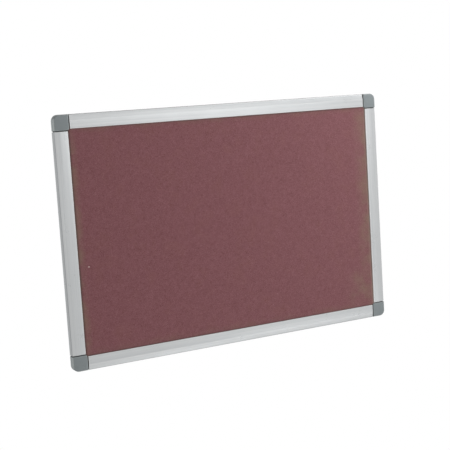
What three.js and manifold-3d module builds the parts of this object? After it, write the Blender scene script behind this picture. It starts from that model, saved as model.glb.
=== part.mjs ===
// A wall pinboard: felt on a soft fibreboard core, framed by four aluminium rails.
// A moulded bracket joins the rails at each corner, and a cap hides it with its wall screw.
//
// Lengths are in millimetres. The board is drawn as it is seen from the front: x runs to
// the right, y up, and z out of the wall. One turn at the end stands it up, with Z as its
// height and its back towards +Y. The origin is the middle of the plane against the wall.

import * as THREE from 'three';
import { mergeVertices } from 'three/addons/utils/BufferGeometryUtils.js';
import Module from 'manifold-3d';

const wasm = await Module();
wasm.setup();

// Whole board
const board_width = 900;
const board_height = 600;

// Gap left where two pieces meet, and how far a cutter runs past what it cuts
const fit_gap = 0.3;
const cutter_overrun = 1;

// Panel layers, and the play between the panel's edge and the floor of the rail's groove
const backing_thickness = 1;
const core_thickness = 9.4;
const felt_thickness = 1.8;
const panel_edge_play = 1.4;

// Rail section: widths run in from the board's outer side
const rail_face_width = 33.3;
const rail_wall = 1.4;
const rail_edge_drop = 2;
const rail_edge_radius = 1.5;
const chamber_width = 12;
const locating_rib_width = 1;
const locating_rib_reach = 0.4;
const locating_rib_place_shares = [0.3, 0.7];
const screw_channel_width = 9;
const rear_flange_overlap = 10.6;
const lip_bead_width = 1.6;
const lip_bead_depth = 2.2;
const lip_bead_radius = 0.8;

// Corner cap
const cap_size = 37.2;
const cap_seam = 1.8;
const cap_wall = 1.6;
const cap_plate = 1.8;
const cap_proud = 1;
const cap_crown = 0.5;
const cap_edge_radius = 2.6;
const cap_outer_radius = 12;
const cap_inner_radius = 5;
const cap_side_radius = 1.2;
const cap_skirt_setback = 0.4;
const sharpest_radius = 0.2;

// Pegs that hold the cap on its bracket
const peg_diameter = 6;
const peg_web = 1.3;
const peg_engagement = 8;
const peg_taper = 1.5;
const peg_embedding = 0.6;
const peg_near_share = 0.2;
const peg_far_share = 0.735;

// Bracket block inside the corner
const bracket_wall = 1.8;
const bracket_base = 2.4;
const bracket_side_radius = 1.5;
const bracket_corner_cover = 0.5;
const bracket_rib_front = 8;
const socket_wall = 1.5;
const socket_setback = 1.5;
const wall_screw_inset = 20;
const wall_screw_hole = 6.5;
const wall_screw_counterbore = 10.5;
const wall_screw_seat = 4;
const tower_wall = 1.4;
const tower_front = 9;

// Bracket leg inside the rail's chamber
const leg_reach = 46;
const leg_taper_length = 5;
const leg_taper_depth = 1.6;
const barb_height = 0.9;
const barb_pitch = 8;
const barb_lead = 4;
const barb_ramp_share = 0.8;
const leg_web = 1.8;
const leg_pocket_rib = 1.6;
const leg_pocket_count = 4;

// Screw from behind, through the rail into the leg
const screw_head_diameter = 5.6;
const screw_head_height = 1.6;
const screw_head_flat_share = 0.8;
const screw_head_shoulder_share = 0.4;
const screw_head_setback = 0.1;
const screw_shank_diameter = 2.9;
const screw_shank_length = 9.5;
const screw_tip_length = 2;
const screw_inset = 14;
const screw_boss_wall = 1.75;
const screw_hole_spare = 0.6;
const recess_width = 0.8;
const recess_span = 3.2;
const recess_depth = 0.9;

// How finely the round forms are cut
const round_sides = 20;
const screw_sides = 16;
const edge_steps = 5;
const outer_corner_steps = 10;
const inner_corner_steps = 6;
const side_corner_steps = 3;
const crown_shares = [0.3, 0.6, 0.85];

// Panel layers, from the wall forwards, and the lip that holds them in
const backing_rear = rail_wall + fit_gap;
const backing_front = backing_rear + backing_thickness;
const core_rear = backing_front + fit_gap;
const core_front = core_rear + core_thickness;
const felt_rear = core_front + fit_gap;
const felt_front = felt_rear + felt_thickness;
const lip_bead_rear = felt_front + fit_gap;
const rail_depth = lip_bead_rear + lip_bead_depth;

// Rail section, from the outer side inwards and from the wall forwards
const chamber_outer = rail_wall;
const chamber_inner = chamber_outer + chamber_width;
const chamber_centre = chamber_outer + chamber_width / 2;
const groove_floor = chamber_inner + rail_wall;
const rear_flange_edge = groove_floor + rear_flange_overlap;
const screw_channel_depth = screw_head_height + fit_gap + screw_head_setback;
const chamber_rear = screw_channel_depth + rail_wall;
const rail_setback = cap_size + cap_seam;

// The sloped band of the face lies over the chamber, and the flat band over the groove
function faceDepth(across) {
  const rise_share = Math.min(across / chamber_inner, 1);
  return rail_depth - rail_edge_drop * (1 - rise_share);
}

function chamberFront(across) {
  return faceDepth(across) - rail_wall;
}

const locating_rib_tip = chamberFront(chamber_outer) - locating_rib_reach;
const leg_rear = chamber_rear + fit_gap;
const leg_front = locating_rib_tip - fit_gap;

// Cap and bracket, in the same measures
const cap_front = rail_depth + cap_proud;
const cap_underside = cap_front - cap_plate;
const bracket_outer = cap_wall + fit_gap;
const bracket_inner = rail_setback - fit_gap;
const bracket_front = lip_bead_rear - fit_gap;
const peg_near = bracket_outer + peg_near_share * (bracket_inner - bracket_outer);
const peg_far = bracket_outer + peg_far_share * (bracket_inner - bracket_outer);
const peg_places = [[peg_near, peg_far], [peg_far, peg_near]];
const socket_front = bracket_front - socket_setback;
const socket_radius = peg_diameter / 2 + fit_gap;
const peg_tip = socket_front - peg_engagement;
const panel_edge = groove_floor + panel_edge_play;
const panel_notch = bracket_inner + fit_gap;

// The bracket reaches past the cap to stop the rails' ends, so its inner corner is rounded
// enough to stay covered by the cap's. A rounded corner falls short of a square one, along
// each side, by this share of its radius.
const rounded_shortfall_share = 1 - Math.SQRT1_2;
const bracket_past_cap = bracket_inner - cap_size + bracket_corner_cover;
const bracket_inner_radius = Math.min(
  cap_inner_radius + bracket_past_cap / rounded_shortfall_share, bracket_inner - panel_edge);
const notch_radius = bracket_inner_radius + fit_gap;

const materials = {
  aluminium: { color: 0xc8cacb, roughness: 0.42, metalness: 1 },
  cap_abs: { color: 0x7f8786, roughness: 0.5, metalness: 0 },
  bracket_nylon: { color: 0x3b3e40, roughness: 0.6, metalness: 0 },
  zinc_steel: { color: 0xb8bbbf, roughness: 0.35, metalness: 1 },
  felt: { color: 0x7d4c52, roughness: 1, metalness: 0 },
  fibreboard: { color: 0xa98a60, roughness: 0.95, metalness: 0 },
  hardboard: { color: 0x7c5f43, roughness: 0.8, metalness: 0 },
};

// A closed mesh becomes a solid that can be cut and joined, and comes back as a mesh
function solidOf(geometry) {
  const bare = geometry.clone();
  bare.deleteAttribute('normal');
  bare.deleteAttribute('uv');
  const merged = mergeVertices(bare);
  return new wasm.Manifold(new wasm.Mesh({
    numProp: 3,
    vertProperties: new Float32Array(merged.attributes.position.array),
    triVerts: new Uint32Array(merged.index.array),
  }));
}

function geometryOf(solid) {
  const mesh = solid.getMesh();
  const geometry = new THREE.BufferGeometry();
  geometry.setAttribute('position', new THREE.BufferAttribute(mesh.vertProperties, 3));
  geometry.setIndex(new THREE.BufferAttribute(mesh.triVerts, 1));
  geometry.computeVertexNormals();
  return geometry;
}

function pieceMesh(name, geometry, material) {
  const mesh = new THREE.Mesh(geometry, new THREE.MeshStandardMaterial(materials[material]));
  mesh.name = name;
  return mesh;
}

// Plain stock shapes, all running along z
function extruded(shape, rear, front, steps = 1) {
  const geometry = new THREE.ExtrudeGeometry(shape, {
    depth: front - rear,
    bevelEnabled: false,
    curveSegments: steps,
  });
  return geometry.translate(0, 0, rear);
}

function roundBar(x, y, rear, front, radius, sides = round_sides) {
  const geometry = new THREE.CylinderGeometry(radius, radius, front - rear, sides);
  return geometry.rotateX(Math.PI / 2).translate(x, y, (rear + front) / 2);
}

function block(left, right, low, high, rear, front) {
  const geometry = new THREE.BoxGeometry(right - left, high - low, front - rear);
  return geometry.translate((left + right) / 2, (low + high) / 2, (rear + front) / 2);
}

// A turned form from its [radius, z] profile, which starts and ends on the axis
function turned(profile, sides) {
  const points = profile.map(([radius, along]) => new THREE.Vector2(radius, along));
  return new THREE.LatheGeometry(points, sides).rotateX(Math.PI / 2);
}

// Rail: a hollow extrusion with a groove for the panel and a channel for the screw heads.
// Its section is drawn with x in from the outer side and y out from the wall.
function railSection() {
  const channel_from = chamber_centre - screw_channel_width / 2;
  const channel_to = chamber_centre + screw_channel_width / 2;
  const edge_front = faceDepth(0);
  const bead_from = rail_face_width - lip_bead_width;
  const lip_rear = rail_depth - rail_wall;

  const section = new THREE.Shape();
  section.moveTo(0, 0);
  section.lineTo(channel_from, 0);
  section.lineTo(channel_from, screw_channel_depth);
  section.lineTo(channel_to, screw_channel_depth);
  section.lineTo(channel_to, 0);
  section.lineTo(rear_flange_edge, 0);
  section.lineTo(rear_flange_edge, rail_wall);
  section.lineTo(groove_floor, rail_wall);
  section.lineTo(groove_floor, lip_rear);
  section.lineTo(bead_from, lip_rear);
  section.lineTo(bead_from, lip_bead_rear);
  section.lineTo(rail_face_width, lip_bead_rear);
  section.lineTo(rail_face_width, rail_depth - lip_bead_radius);
  section.quadraticCurveTo(
    rail_face_width, rail_depth, rail_face_width - lip_bead_radius, rail_depth);
  section.lineTo(chamber_inner, rail_depth);
  section.lineTo(rail_edge_radius, faceDepth(rail_edge_radius));
  section.quadraticCurveTo(0, edge_front, 0, edge_front - rail_edge_radius);
  section.closePath();

  const chamber = new THREE.Path();
  chamber.moveTo(chamber_outer, chamber_rear);
  chamber.lineTo(chamber_outer, chamberFront(chamber_outer));
  for (const share of locating_rib_place_shares) {
    const rib_centre = chamber_outer + share * chamber_width;
    const rib_from = rib_centre - locating_rib_width / 2;
    const rib_to = rib_centre + locating_rib_width / 2;
    chamber.lineTo(rib_from, chamberFront(rib_from));
    chamber.lineTo(rib_from, locating_rib_tip);
    chamber.lineTo(rib_to, locating_rib_tip);
    chamber.lineTo(rib_to, chamberFront(rib_to));
  }
  chamber.lineTo(chamber_inner, chamberFront(chamber_inner));
  chamber.lineTo(chamber_inner, chamber_rear);
  chamber.closePath();
  section.holes.push(chamber);
  return section;
}

// A rail as it lies along the top of the board, with its outer side at y = 0
function railGeometry(length) {
  const bar = extruded(railSection(), -length / 2, length / 2, edge_steps);
  const across = new THREE.Vector3(0, -1, 0);
  const outwards = new THREE.Vector3(0, 0, 1);
  const along = new THREE.Vector3(-1, 0, 0);
  bar.applyMatrix4(new THREE.Matrix4().makeBasis(across, outwards, along));

  let rail = solidOf(bar);
  const hole_radius = screw_shank_diameter / 2 + fit_gap;
  for (const side of [-1, 1]) {
    const hole_x = side * (length / 2 - screw_inset);
    const rear = screw_channel_depth - cutter_overrun;
    const front = chamber_rear + cutter_overrun;
    rail = rail.subtract(
      solidOf(roundBar(hole_x, -chamber_centre, rear, front, hole_radius, screw_sides)));
  }
  return geometryOf(rail);
}

// The outline of a corner piece, counter-clockwise, in a square that runs from low to high
// in x and from -low to -high in y. The board's own corner lies at the origin.
function cornerOutline(low, high, outer_radius, side_radius, inner_radius) {
  const corners = [
    { x: low, y: -high, radius: side_radius, turn: Math.PI, steps: side_corner_steps },
    { x: high, y: -high, radius: inner_radius, turn: -Math.PI / 2, steps: inner_corner_steps },
    { x: high, y: -low, radius: side_radius, turn: 0, steps: side_corner_steps },
    { x: low, y: -low, radius: outer_radius, turn: Math.PI / 2, steps: outer_corner_steps },
  ];
  const middle_x = (low + high) / 2;
  const middle_y = -(low + high) / 2;
  const points = [];
  for (const corner of corners) {
    const radius = Math.max(corner.radius, sharpest_radius);
    const centre_x = corner.x + Math.sign(middle_x - corner.x) * radius;
    const centre_y = corner.y + Math.sign(middle_y - corner.y) * radius;
    for (let step = 0; step <= corner.steps; step += 1) {
      const angle = corner.turn + (Math.PI / 2) * (step / corner.steps);
      points.push(new THREE.Vector2(
        centre_x + radius * Math.cos(angle), centre_y + radius * Math.sin(angle)));
    }
  }
  return points;
}

// The cap's outline, drawn in by an inset all round
function capOutline(inset) {
  return cornerOutline(
    inset, cap_size - inset,
    cap_outer_radius - inset, cap_side_radius - inset, cap_inner_radius - inset);
}

// A closed skin through rings of equal length, each { outline, z }, from the rear forwards
function lofted(rings) {
  const count = rings[0].outline.length;
  const positions = [];
  const indices = [];
  for (const ring of rings) {
    for (const point of ring.outline) {
      positions.push(point.x, point.y, ring.z);
    }
  }
  const rear_centre = rings.length * count;
  const front_centre = rear_centre + 1;
  for (const ring of [rings[0], rings[rings.length - 1]]) {
    const middle = new THREE.Box2().setFromPoints(ring.outline).getCenter(new THREE.Vector2());
    positions.push(middle.x, middle.y, ring.z);
  }
  for (let level = 0; level + 1 < rings.length; level += 1) {
    for (let index = 0; index < count; index += 1) {
      const next = (index + 1) % count;
      const near = level * count;
      const far = near + count;
      indices.push(near + index, near + next, far + next);
      indices.push(near + index, far + next, far + index);
    }
  }
  const last = (rings.length - 1) * count;
  for (let index = 0; index < count; index += 1) {
    const next = (index + 1) % count;
    indices.push(rear_centre, next, index);
    indices.push(front_centre, last + index, last + next);
  }
  const geometry = new THREE.BufferGeometry();
  geometry.setAttribute('position', new THREE.Float32BufferAttribute(positions, 3));
  geometry.setIndex(indices);
  return geometry;
}

// Cap: a moulded shell with a rounded shoulder and a slightly crowned face. Its two outer
// skirts reach the wall, and the other two end just above the felt.
function capShell() {
  const shoulder_front = cap_front - cap_crown;
  const shoulder_rear = shoulder_front - cap_edge_radius;
  const rings = [
    { outline: capOutline(0), z: cap_skirt_setback },
    { outline: capOutline(0), z: shoulder_rear },
  ];
  for (let step = 1; step <= edge_steps; step += 1) {
    const angle = (Math.PI / 2) * (step / edge_steps);
    rings.push({
      outline: capOutline(cap_edge_radius * (1 - Math.cos(angle))),
      z: shoulder_rear + cap_edge_radius * Math.sin(angle),
    });
  }
  for (const share of crown_shares) {
    rings.push({
      outline: capOutline(cap_edge_radius + share * (cap_size / 2 - cap_edge_radius)),
      z: shoulder_front + cap_crown * (1 - (1 - share) ** 2),
    });
  }

  const past_side = cap_size + cutter_overrun;
  const open_outline = cornerOutline(
    cap_wall, past_side, cap_outer_radius - cap_wall, sharpest_radius, sharpest_radius);
  const open_rear = lofted([
    { outline: open_outline, z: cap_skirt_setback - cutter_overrun },
    { outline: open_outline, z: lip_bead_rear },
  ]);
  const cavity = lofted([
    { outline: capOutline(cap_wall), z: lip_bead_rear - cutter_overrun },
    { outline: capOutline(cap_wall), z: cap_underside },
  ]);
  return solidOf(lofted(rings)).subtract(solidOf(open_rear)).subtract(solidOf(cavity));
}

// Peg: two crossed webs inside a round envelope with a tapered tip
function capPeg(x, y) {
  const radius = peg_diameter / 2;
  const front = cap_underside + peg_embedding;
  const envelope = turned([
    [0, peg_tip],
    [radius - peg_taper, peg_tip],
    [radius, peg_tip + peg_taper],
    [radius, front],
    [0, front],
  ], round_sides);
  const web_rear = peg_tip - cutter_overrun;
  const web_front = front + cutter_overrun;
  const half_web = peg_web / 2;
  const upright = block(-half_web, half_web, -radius, radius, web_rear, web_front);
  const level = block(-radius, radius, -half_web, half_web, web_rear, web_front);
  return solidOf(upright).add(solidOf(level)).intersect(solidOf(envelope)).translate(x, y, 0);
}

function capGeometry() {
  let cap = capShell();
  for (const [across, down] of peg_places) {
    cap = cap.add(capPeg(across, -down));
  }
  return geometryOf(cap);
}

// Bracket leg, lying along x with its middle on y = 0. x counts from the board's corner.
function legOutline() {
  const tip_half = chamber_width / 2 - fit_gap;
  const root_half = tip_half - barb_height;
  const leg_end = rail_setback + leg_reach;
  const taper_from = leg_end - leg_taper_length;
  const barb_room = taper_from - rail_setback - barb_lead;
  const barb_count = Math.floor(barb_room / barb_pitch);
  const upper = [[bracket_inner - bracket_wall, root_half]];
  for (let barb = 0; barb < barb_count; barb += 1) {
    const step_x = rail_setback + barb_lead + barb * barb_pitch;
    upper.push([step_x, root_half]);
    upper.push([step_x, tip_half]);
    upper.push([step_x + barb_ramp_share * barb_pitch, root_half]);
  }
  upper.push([taper_from, root_half]);
  upper.push([leg_end, root_half - leg_taper_depth]);
  const lower = upper.map(([x, y]) => [x, -y]);
  const outline = [...lower, ...upper.reverse()];
  return new THREE.Shape(outline.map(([x, y]) => new THREE.Vector2(x, y)));
}

function bracketLeg() {
  const root_half = chamber_width / 2 - fit_gap - barb_height;
  const pocket_half = root_half - bracket_wall;
  const pockets_from = bracket_inner + leg_pocket_rib;
  const pockets_to = rail_setback + leg_reach - leg_taper_length;
  const pocket_pitch = (pockets_to - pockets_from) / leg_pocket_count;
  let leg = solidOf(extruded(legOutline(), leg_rear, leg_front));
  for (let pocket = 0; pocket < leg_pocket_count; pocket += 1) {
    const from = pockets_from + pocket * pocket_pitch;
    const to = from + pocket_pitch - leg_pocket_rib;
    leg = leg.subtract(solidOf(block(
      from, to, -pocket_half, pocket_half, leg_rear - cutter_overrun, leg_front - leg_web)));
  }
  const screw_x = rail_setback + screw_inset;
  const hole_radius = screw_shank_diameter / 2 + fit_gap;
  const boss_radius = hole_radius + screw_boss_wall;
  const hole_front = screw_head_setback + screw_head_height + screw_shank_length + screw_hole_spare;
  const boss = roundBar(screw_x, 0, leg_rear, leg_front, boss_radius);
  const hole = roundBar(
    screw_x, 0, leg_rear - cutter_overrun, hole_front, hole_radius, screw_sides);
  return leg.add(solidOf(boss)).subtract(solidOf(hole));
}

// Bracket block: a tray that opens forwards, with a tower round the wall screw, two ribs
// across it and a socket for each peg of the cap
function bracketBlock() {
  const outer_radius = cap_outer_radius - bracket_outer;
  const outline = cornerOutline(
    bracket_outer, bracket_inner, outer_radius, bracket_side_radius, bracket_inner_radius);
  const pocket_outer = bracket_outer + bracket_wall;
  const pocket_inner = bracket_inner - bracket_wall;
  const pocket = cornerOutline(
    pocket_outer, pocket_inner,
    outer_radius - bracket_wall, bracket_side_radius, bracket_inner_radius - bracket_wall);
  const past_front = bracket_front + cutter_overrun;
  let tray = solidOf(lofted([{ outline, z: 0 }, { outline, z: bracket_front }]));
  tray = tray.subtract(solidOf(lofted([
    { outline: pocket, z: bracket_base },
    { outline: pocket, z: past_front },
  ])));

  const half_wall = bracket_wall / 2;
  const centre = wall_screw_inset;
  const rib_rear = bracket_base / 2;
  tray = tray.add(solidOf(block(
    pocket_outer - half_wall, pocket_inner + half_wall, -centre - half_wall, half_wall - centre,
    rib_rear, bracket_rib_front)));
  tray = tray.add(solidOf(block(
    centre - half_wall, centre + half_wall, -pocket_inner - half_wall, half_wall - pocket_outer,
    rib_rear, bracket_rib_front)));

  const bore_radius = wall_screw_counterbore / 2;
  tray = tray.add(solidOf(roundBar(centre, -centre, rib_rear, tower_front, bore_radius + tower_wall)));
  tray = tray.subtract(solidOf(roundBar(centre, -centre, wall_screw_seat, past_front, bore_radius)));
  tray = tray.subtract(solidOf(roundBar(
    centre, -centre, -cutter_overrun, past_front, wall_screw_hole / 2)));
  for (const [across, down] of peg_places) {
    tray = tray.add(solidOf(roundBar(
      across, -down, rib_rear, socket_front, socket_radius + socket_wall)));
    tray = tray.subtract(solidOf(roundBar(across, -down, bracket_base, past_front, socket_radius)));
  }
  return tray;
}

function bracketGeometry() {
  const quarter_turn_degrees = 90;
  const leg = bracketLeg();
  const level_leg = leg.translate(0, -chamber_centre, 0);
  const upright_leg = leg.rotate(0, 0, -quarter_turn_degrees).translate(chamber_centre, 0, 0);
  return geometryOf(bracketBlock().add(level_leg).add(upright_leg));
}

// Screw: a pan head with a cross recess, and a plain shank with a pointed tip. It stands on
// the z axis, with its head at the back.
function screwGeometry() {
  const head_radius = screw_head_diameter / 2;
  const shank_radius = screw_shank_diameter / 2;
  const head_rear = screw_head_setback;
  const head_front = head_rear + screw_head_height;
  const tip_front = head_front + screw_shank_length;
  const body = turned([
    [0, head_rear],
    [head_radius * screw_head_flat_share, head_rear],
    [head_radius, head_rear + screw_head_height * screw_head_shoulder_share],
    [head_radius, head_front],
    [shank_radius, head_front],
    [shank_radius, tip_front - screw_tip_length],
    [0, tip_front],
  ], screw_sides);
  const half_width = recess_width / 2;
  const half_span = recess_span / 2;
  const recess_rear = head_rear - cutter_overrun;
  const recess_front = head_rear + recess_depth;
  const level = block(-half_span, half_span, -half_width, half_width, recess_rear, recess_front);
  const upright = block(-half_width, half_width, -half_span, half_span, recess_rear, recess_front);
  return geometryOf(solidOf(body).subtract(solidOf(level)).subtract(solidOf(upright)));
}

// One layer of the panel: a rectangle with a rounded notch at each corner for the bracket
function panelLayer(rear, front) {
  const arc_centre = panel_notch - notch_radius;
  const notch = [[panel_edge, panel_notch]];
  for (let step = 0; step <= inner_corner_steps; step += 1) {
    const angle = (Math.PI / 2) * (1 - step / inner_corner_steps);
    notch.push([
      arc_centre + notch_radius * Math.cos(angle),
      arc_centre + notch_radius * Math.sin(angle),
    ]);
  }
  notch.push([panel_notch, panel_edge]);
  const points = [];
  for (const [side_x, side_y] of [[-1, -1], [1, -1], [1, 1], [-1, 1]]) {
    const round_corner = side_x * side_y > 0 ? notch : [...notch].reverse();
    for (const [across, down] of round_corner) {
      points.push(new THREE.Vector2(
        side_x * (board_width / 2 - across), side_y * (board_height / 2 - down)));
    }
  }
  return extruded(new THREE.Shape(points), rear, front);
}

// The four sides and corners, a quarter turn apart, counter-clockwise from the top left
const board = new THREE.Group();
const sides = [
  { name: 'top', length: board_width, out: board_height / 2 },
  { name: 'left', length: board_height, out: board_width / 2 },
  { name: 'bottom', length: board_width, out: board_height / 2 },
  { name: 'right', length: board_height, out: board_width / 2 },
];
const corners = [
  { name: 'top_left', x: -board_width / 2, y: board_height / 2 },
  { name: 'bottom_left', x: -board_width / 2, y: -board_height / 2 },
  { name: 'bottom_right', x: board_width / 2, y: -board_height / 2 },
  { name: 'top_right', x: board_width / 2, y: board_height / 2 },
];

sides.forEach((side, quarter) => {
  const rail = pieceMesh(
    `rail_${side.name}`, railGeometry(side.length - 2 * rail_setback), 'aluminium');
  rail.position.y = side.out;
  const turn = new THREE.Group();
  turn.rotation.z = quarter * Math.PI / 2;
  turn.add(rail);
  board.add(turn);
});

corners.forEach((corner, quarter) => {
  const group = new THREE.Group();
  group.position.set(corner.x, corner.y, 0);
  group.rotation.z = quarter * Math.PI / 2;
  group.add(pieceMesh(`corner_bracket_${corner.name}`, bracketGeometry(), 'bracket_nylon'));
  group.add(pieceMesh(`corner_cap_${corner.name}`, capGeometry(), 'cap_abs'));
  const screw_along = rail_setback + screw_inset;
  const ahead_screw = pieceMesh(`bracket_screw_${corner.name}_1`, screwGeometry(), 'zinc_steel');
  ahead_screw.position.set(screw_along, -chamber_centre, 0);
  const down_screw = pieceMesh(`bracket_screw_${corner.name}_2`, screwGeometry(), 'zinc_steel');
  down_screw.position.set(chamber_centre, -screw_along, 0);
  group.add(ahead_screw, down_screw);
  board.add(group);
});

board.add(pieceMesh('backing_sheet', panelLayer(backing_rear, backing_front), 'hardboard'));
board.add(pieceMesh('core_board', panelLayer(core_rear, core_front), 'fibreboard'));
board.add(pieceMesh('felt_cover', panelLayer(felt_rear, felt_front), 'felt'));

// Stand the board up: its face turns to -Y and its back lies in the plane y = 0
board.rotation.x = Math.PI / 2;

const pinboard = new THREE.Group();
pinboard.add(board);

export default pinboard;
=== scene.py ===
# A framed felt pinboard for a wall, with pull-off corner caps. Lengths are in metres.
# Its pieces are drawn as the board is seen from the front while it lies on its back: x runs to
# the right, y up and z out of the wall. One turn then stands each piece up in the frame.

import math

import bmesh
import bpy
from mathutils import Matrix, Vector, noise


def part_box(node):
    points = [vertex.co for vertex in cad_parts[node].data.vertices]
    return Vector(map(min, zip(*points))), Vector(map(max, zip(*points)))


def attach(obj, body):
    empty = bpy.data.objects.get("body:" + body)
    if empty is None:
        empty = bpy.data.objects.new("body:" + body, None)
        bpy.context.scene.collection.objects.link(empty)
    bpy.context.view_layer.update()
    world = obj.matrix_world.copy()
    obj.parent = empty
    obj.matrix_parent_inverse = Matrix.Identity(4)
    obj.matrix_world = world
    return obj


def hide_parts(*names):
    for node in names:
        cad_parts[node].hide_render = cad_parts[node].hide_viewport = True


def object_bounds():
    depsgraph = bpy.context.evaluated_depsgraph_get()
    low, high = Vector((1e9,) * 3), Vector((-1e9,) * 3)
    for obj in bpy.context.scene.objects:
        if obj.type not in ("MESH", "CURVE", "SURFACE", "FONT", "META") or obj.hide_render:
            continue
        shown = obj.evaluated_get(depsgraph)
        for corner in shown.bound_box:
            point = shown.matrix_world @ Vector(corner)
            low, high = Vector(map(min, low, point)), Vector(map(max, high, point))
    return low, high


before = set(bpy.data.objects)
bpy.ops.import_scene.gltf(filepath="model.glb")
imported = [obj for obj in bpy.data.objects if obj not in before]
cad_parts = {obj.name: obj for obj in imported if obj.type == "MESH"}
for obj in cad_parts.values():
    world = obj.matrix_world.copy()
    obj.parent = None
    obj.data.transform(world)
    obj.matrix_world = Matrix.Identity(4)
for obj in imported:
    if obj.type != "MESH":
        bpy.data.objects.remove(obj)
cad_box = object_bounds()


# The core board: soft fibreboard that takes the pins. Wood fibres are felted wet, pressed and
# dried into a loose sheet, and sawn to size. The felt and the backing sheet are glued to it.

mm = 0.001
fibre_clump = 1.6 * mm
pressing_patch = 24 * mm
fibre_relief = 0.4 * mm
of_colours = {"data_type": "RGBA"}


def linear(hex_colour):
    """The linear colour behind an sRGB hex value."""
    parts = [int(hex_colour[place:place + 2], 16) / 255 for place in (1, 3, 5)]
    toe = 0.04045
    curved = [part / 12.92 if part <= toe else ((part + 0.055) / 1.055) ** 2.4 for part in parts]
    return (*curved, 1.0)


def add_node(tree, kind, settings=None, inputs=None):
    """A node with its settings. An input is another node's output, or else a plain value. A Mix
    node has sockets of the same name for each kind of data, so the one in use is taken."""
    node = tree.nodes.new(kind)
    for name, value in (settings or {}).items():
        setattr(node, name, value)
    for name, value in (inputs or {}).items():
        if isinstance(name, int):
            socket = node.inputs[name]
        else:
            socket = next(part for part in node.inputs if part.name == name and part.enabled)
        if isinstance(value, bpy.types.Node):
            value = next(part for part in value.outputs if part.enabled)
        if isinstance(value, bpy.types.NodeSocket):
            tree.links.new(value, socket)
        else:
            socket.default_value = value
    return node


def new_material(look):
    """A material with the name of the function that draws its look. That function is given the
    node tree and the place on the piece, and returns the shader of the surface."""
    material = bpy.data.materials.new(look.__name__)
    material.use_nodes = True
    tree = material.node_tree
    tree.nodes.clear()
    place = add_node(tree, "ShaderNodeTexCoord").outputs["Object"]
    add_node(tree, "ShaderNodeOutputMaterial", inputs={"Surface": look(tree, place)})
    return material


def soft_fibreboard_pressed(tree, place):
    """Pressed wood fibre: straw brown, rough and open, with loose clumps of fibre."""
    clumps = add_node(tree, "ShaderNodeTexNoise", inputs={
        "Vector": place, "Scale": 1 / fibre_clump, "Detail": 5, "Roughness": 0.7})
    patches = add_node(tree, "ShaderNodeTexNoise", inputs={
        "Vector": place, "Scale": 1 / pressing_patch, "Detail": 2})
    shade = add_node(tree, "ShaderNodeMapRange", inputs={
        "Value": patches, "From Min": 0.35, "From Max": 0.65})
    ground = add_node(tree, "ShaderNodeMix", of_colours, {
        "Factor": shade, "A": linear("#9A7C55"), "B": linear("#B49669")})
    fibres = add_node(tree, "ShaderNodeMapRange", inputs={
        "Value": clumps, "From Min": 0.52, "From Max": 0.7})
    colour = add_node(tree, "ShaderNodeMix", of_colours, {
        "Factor": fibres, "A": ground, "B": linear("#CDB48A")})
    relief = add_node(tree, "ShaderNodeBump", inputs={
        "Strength": 0.8, "Distance": fibre_relief, "Height": clumps})
    return add_node(tree, "ShaderNodeBsdfPrincipled", inputs={
        "Base Color": colour, "Roughness": 0.95, "IOR": 1.5, "Normal": relief})


def dress(node, material):
    """A CAD node keeps its shape and takes a finish."""
    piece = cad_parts[node]
    piece.data.materials.clear()
    piece.data.materials.append(material)


dress("core_board", new_material(soft_fibreboard_pressed))


# The backing sheet: thin tempered hardboard glued to the rear of the core, smooth side out. It
# keeps the panel flat, and shows brown between the rails' rear flanges.

board_fleck = 1.3 * mm
board_strand = 7 * mm
board_cloud = 60 * mm
board_relief = 0.1 * mm


def tempered_hardboard_smooth(tree, place):
    """Hot-pressed wood fibre: dark brown, smooth and faintly waxy, flecked with darker strands."""
    cloud = add_node(tree, "ShaderNodeTexNoise", inputs={
        "Vector": place, "Scale": 1 / board_cloud, "Detail": 3, "Roughness": 0.6})
    strands = add_node(tree, "ShaderNodeTexNoise", inputs={
        "Vector": place, "Scale": 1 / board_strand, "Detail": 8, "Roughness": 0.75,
        "Distortion": 1.4})
    flecks = add_node(tree, "ShaderNodeTexNoise", inputs={
        "Vector": place, "Scale": 1 / board_fleck, "Detail": 2, "Roughness": 0.7})
    ground = add_node(tree, "ShaderNodeMix", of_colours, {
        "Factor": cloud, "A": linear("#69503A"), "B": linear("#8C6E50")})
    streak = add_node(tree, "ShaderNodeMapRange", inputs={
        "Value": strands, "From Min": 0.5, "From Max": 0.68, "To Max": 0.55})
    fibred = add_node(tree, "ShaderNodeMix", of_colours, {
        "Factor": streak, "A": ground, "B": linear("#A78662")})
    dark = add_node(tree, "ShaderNodeMapRange", inputs={
        "Value": flecks, "From Min": 0.62, "From Max": 0.72, "To Max": 0.5})
    colour = add_node(tree, "ShaderNodeMix", of_colours, {
        "Factor": dark, "A": fibred, "B": linear("#4B3827")})
    polish = add_node(tree, "ShaderNodeMapRange", inputs={
        "Value": strands, "From Min": 0.3, "From Max": 0.7, "To Min": 0.45, "To Max": 0.65})
    relief = add_node(tree, "ShaderNodeBump", inputs={
        "Strength": 0.35, "Distance": board_relief, "Height": strands})
    return add_node(tree, "ShaderNodeBsdfPrincipled", inputs={
        "Base Color": colour, "Roughness": polish, "IOR": 1.5, "Normal": relief})


dress("backing_sheet", new_material(tempered_hardboard_smooth))


# The felt cover: a needled felt sheet, glued flat on the core and cut to the panel's edge, with
# a notch at each corner for the bracket. The rails' lip presses its margin down in the groove.

board_half_width = cad_box[1].x
board_half_height = cad_box[1].z
rail_low, rail_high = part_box("rail_top")
rail_face_width = rail_high.z - rail_low.z
rail_depth = -rail_low.y
rail_setback = board_half_width - rail_high.x
quarter_turn = math.pi / 2
stand_up = Matrix.Rotation(quarter_turn, 4, "X")

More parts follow.
